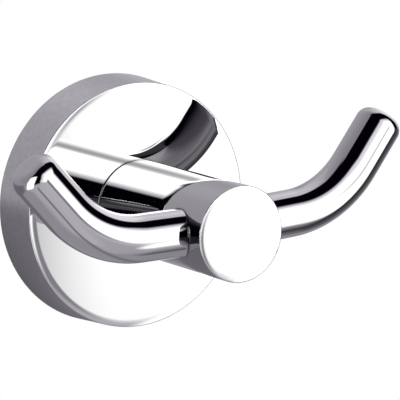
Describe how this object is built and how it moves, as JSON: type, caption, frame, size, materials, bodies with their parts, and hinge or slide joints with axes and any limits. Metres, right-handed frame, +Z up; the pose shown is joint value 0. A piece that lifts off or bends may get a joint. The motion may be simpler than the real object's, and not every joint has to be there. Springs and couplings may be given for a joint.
{
  "type": "double robe hook",
  "caption": "Wall hook with a round flange, a plain round post and a pair of upturned round arms near the post's free end.",
  "frame": {"origin": "centre of the wall bracket's back face, on the wall, midway between the two fixing slots", "axes": "+Z up, +Y into the wall so that the post stands out along -Y, +X to the right of someone facing the wall"},
  "size_m": [0.0922, 0.052, 0.0552],
  "materials": {
    "flange_chrome": "mirror polished chrome plate",
    "post_chrome": "mirror polished chrome plate",
    "arm_chrome": "mirror polished chrome plate",
    "bracket_zinc": "turned, plain zinc plate",
    "plated_steel": "bright zinc plate"
  },
  "bodies": {
    "root": {"wall_flange": "flange_chrome", "post": "post_chrome", "right_arm": "arm_chrome", "left_arm": "arm_chrome", "wall_bracket": "bracket_zinc", "screw_washer": "plated_steel", "post_screw": "plated_steel", "grub_screw": "plated_steel"}
  },
  "joints": []
}
